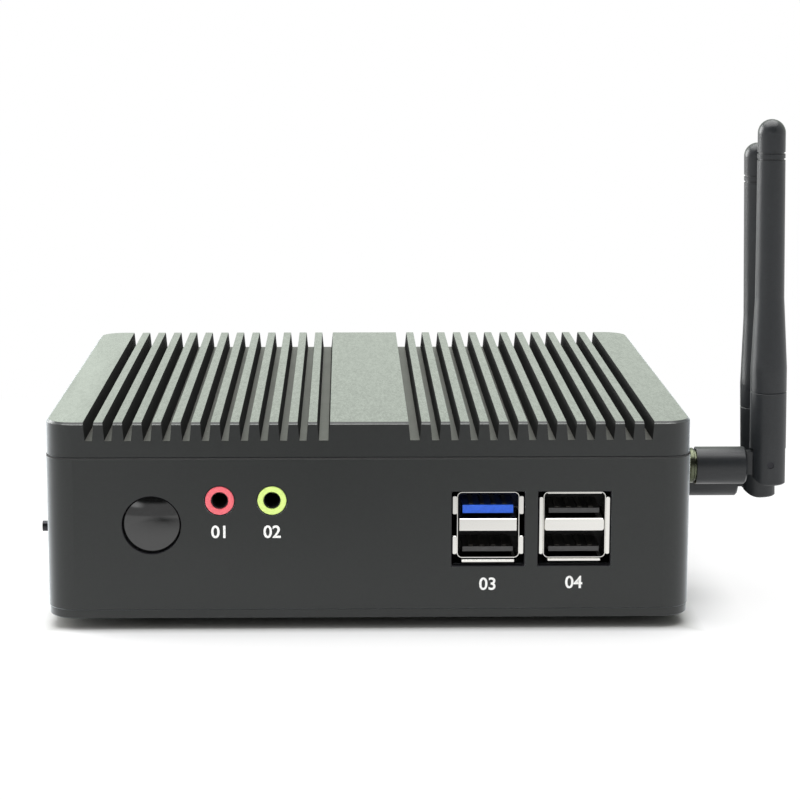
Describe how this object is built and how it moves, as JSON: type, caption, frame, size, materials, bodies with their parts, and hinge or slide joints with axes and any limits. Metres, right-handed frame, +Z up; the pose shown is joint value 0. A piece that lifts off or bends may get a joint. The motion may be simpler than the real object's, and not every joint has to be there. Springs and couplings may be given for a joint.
{
  "type": "fanless industrial computer",
  "caption": "Flat fanless computer with a finned lid, a power button and sockets on its front, and folding aerials on its side.",
  "frame": {"origin": "centre of the four bracket holes, in the underside plane of the bottom cover; the feet reach below it", "axes": "+X to the right as one faces the front panel, towards the aerials; the front panel faces -Y; +Z up through the finned lid"},
  "size_m": [0.1595, 0.128, 0.1045],
  "materials": {
    "black_aluminium": "satin black anodised",
    "screw_black": "black oxide",
    "steel": "plain",
    "rubber": "matt",
    "board": "solder mask",
    "chip": "matt black",
    "pad": "soft",
    "bare_aluminium": "milled",
    "nickel": "bright nickel",
    "blue_plastic": "moulded",
    "black_plastic": "moulded",
    "gold": "gold plated",
    "pink_plastic": "moulded",
    "lime_plastic": "moulded",
    "gloss_black": "polished",
    "aerial_plastic": "fine matt",
    "lead_black": "thin jacket",
    "cream_plastic": "moulded"
  },
  "bodies": {
    "base": {"aerial_collars": "gold", "aerial_jacks": "gold", "aerial_nuts": "gold", "board_screws": "steel", "board_standoffs": "gold", "bottom_cover": "black_aluminium", "button_spring": "steel", "capacitors": "bare_aluminium", "card_posts": "gold", "card_screws": "steel", "card_sockets": "cream_plastic", "case_frame": "black_aluminium", "case_screws": "screw_black", "cell_holder": "black_plastic", "coils": "chip", "coin_cell": "steel", "drive_card": "board", "front_aerial_lead": "lead_black", "headphone_jack": "lime_plastic", "heat_block": "bare_aluminium", "heatsink_lid": "black_aluminium", "jackscrews": "nickel", "lan_contacts": "gold", "lan_left_jack": "nickel", "lan_right_jack": "nickel", "mainboard": "board", "memory_module": "board", "memory_socket": "cream_plastic", "microphone_jack": "pink_plastic", "power_inlet": "black_plastic", "power_inlet_pin": "nickel", "power_switch": "black_plastic", "processor": "chip", "radio_card": "board", "rear_aerial_lead": "lead_black", "rubber_feet": "rubber", "side_stud": "steel", "small_video_insert": "black_plastic", "small_video_shell": "nickel", "switch_board": "board", "switch_screws": "steel", "thermal_pad": "pad", "usb_contacts": "gold", "usb_left_lower_insert": "black_plastic", "usb_left_shell": "nickel", "usb_left_upper_insert": "blue_plastic", "usb_right_inserts": "black_plastic", "usb_right_shell": "nickel", "wide_video_insert": "blue_plastic", "wide_video_shell": "nickel"},
    "power_button": {"power_button": "gloss_black"},
    "front_sleeve": {"front_aerial_sleeve": "aerial_plastic"},
    "rear_sleeve": {"rear_aerial_sleeve": "aerial_plastic"},
    "front_rod": {"front_aerial_pin": "screw_black", "front_aerial_rod": "aerial_plastic"},
    "rear_rod": {"rear_aerial_pin": "screw_black", "rear_aerial_rod": "aerial_plastic"}
  },
  "joints": [
    {"name": "power_button_press", "type": "slide", "parent": "base", "child": "power_button", "axis": [0, 1, 0], "range_m": [0, 0.0006], "stiffness_N_per_m": 1500, "springref_m": -0.0004},
    {"name": "front_aerial_swivel", "type": "hinge", "parent": "base", "child": "front_sleeve", "pos_m": [0.0862, -0.041, 0.02772], "axis": [1, 0, 0], "range_deg": [0, 90]},
    {"name": "front_aerial_tilt", "type": "hinge", "parent": "front_sleeve", "child": "front_rod", "pos_m": [0.0862, -0.041, 0.02837], "axis": [0, 1, 0], "range_deg": [0, 90]},
    {"name": "rear_aerial_swivel", "type": "hinge", "parent": "base", "child": "rear_sleeve", "pos_m": [0.0869, -0.0252, 0.02172], "axis": [-1, 0, 0], "range_deg": [0, 90]},
    {"name": "rear_aerial_tilt", "type": "hinge", "parent": "rear_sleeve", "child": "rear_rod", "pos_m": [0.0869, -0.0252, 0.02237], "axis": [0, 1, 0], "range_deg": [0, 90]}
  ]
}
